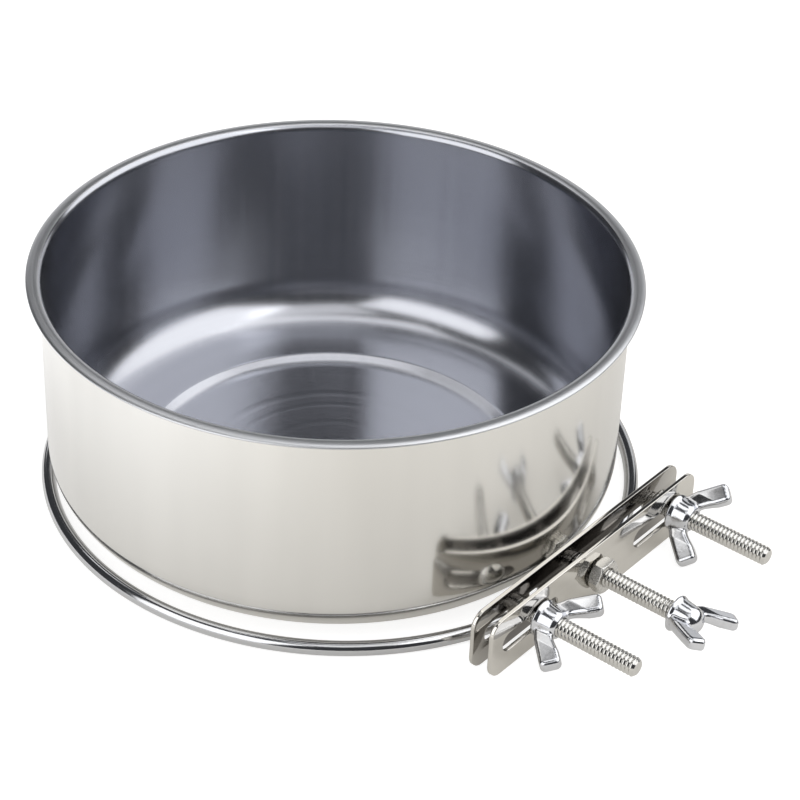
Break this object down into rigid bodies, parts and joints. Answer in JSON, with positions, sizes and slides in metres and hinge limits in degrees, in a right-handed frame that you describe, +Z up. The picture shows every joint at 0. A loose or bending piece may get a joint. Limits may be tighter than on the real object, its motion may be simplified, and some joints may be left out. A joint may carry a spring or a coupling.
{
  "type": "clamp-on seed cup",
  "caption": "Straight-sided steel seed cup with a rolled rim in a wire ring holder that clamps to cage bars between slotted plates with wing nuts and a wing-headed lock screw.",
  "frame": {"origin": "on the cup's axis at table level, in the plane on which the cup and the ring stand", "axes": "+Z up along the cup's axis, +X out through the clamp along its bolts, +Y along the clamp plates"},
  "size_m": [0.1904, 0.1537, 0.061],
  "materials": {
    "cup_steel": "outside polished, inside spun satin",
    "ring_steel": "bright drawn wire",
    "plate_steel": "mirror polished",
    "thread_steel": "bright plated",
    "forged_steel": "bright plated forging"
  },
  "bodies": {
    "holder": {"holder_ring": "ring_steel", "back_plate": "plate_steel", "weld_nut": "thread_steel"},
    "cup": {"cup": "cup_steel"},
    "front_plate": {"front_plate": "plate_steel"},
    "left_bolt": {"left_bolt": "thread_steel"},
    "right_bolt": {"right_bolt": "thread_steel"},
    "left_wing_nut": {"left_wing_nut": "forged_steel"},
    "right_wing_nut": {"right_wing_nut": "forged_steel"},
    "lock_screw": {"lock_screw": "thread_steel"},
    "lock_screw_wing": {"lock_screw_wing": "forged_steel"},
    "jam_nut": {"jam_nut": "thread_steel"}
  },
  "joints": [
    {"name": "cup_lift", "type": "slide", "parent": "holder", "child": "cup", "axis": [0, 0, 1], "range_m": [0, 0.07]},
    {"name": "front_plate_close", "type": "slide", "parent": "holder", "child": "front_plate", "axis": [-1, 0, 0], "range_m": [0, 0.0039]},
    {"name": "left_bolt_slide", "type": "slide", "parent": "holder", "child": "left_bolt", "axis": [0, -1, 0], "range_m": [-0.00287, 0.01027]},
    {"name": "right_bolt_slide", "type": "slide", "parent": "holder", "child": "right_bolt", "axis": [0, 1, 0], "range_m": [-0.01297, 0.00017]},
    {"name": "left_wing_nut_turn", "type": "hinge", "parent": "left_bolt", "child": "left_wing_nut", "pos_m": [0.0811, -0.0198, 0.008], "axis": [1, 0, 0], "continuous": true},
    {"name": "right_wing_nut_turn", "type": "hinge", "parent": "right_bolt", "child": "right_wing_nut", "pos_m": [0.0811, 0.0349, 0.008], "axis": [1, 0, 0], "continuous": true},
    {"name": "lock_screw_advance", "type": "slide", "parent": "holder", "child": "lock_screw", "axis": [1, 0, 0], "range_m": [0, 0.00161]},
    {"name": "lock_screw_turn", "type": "hinge", "parent": "lock_screw", "child": "lock_screw_wing", "pos_m": [0.1037, 0.0025, 0.008], "axis": [1, 0, 0], "range_deg": [0, 540]},
    {"name": "jam_nut_turn", "type": "hinge", "parent": "lock_screw", "child": "jam_nut", "pos_m": [0.0811, 0.0025, 0.008], "axis": [1, 0, 0], "continuous": true}
  ],
  "couplings": [
    {"joint": "lock_screw_advance", "follows": "lock_screw_turn", "m_per_rad": 0.00016844}
  ]
}
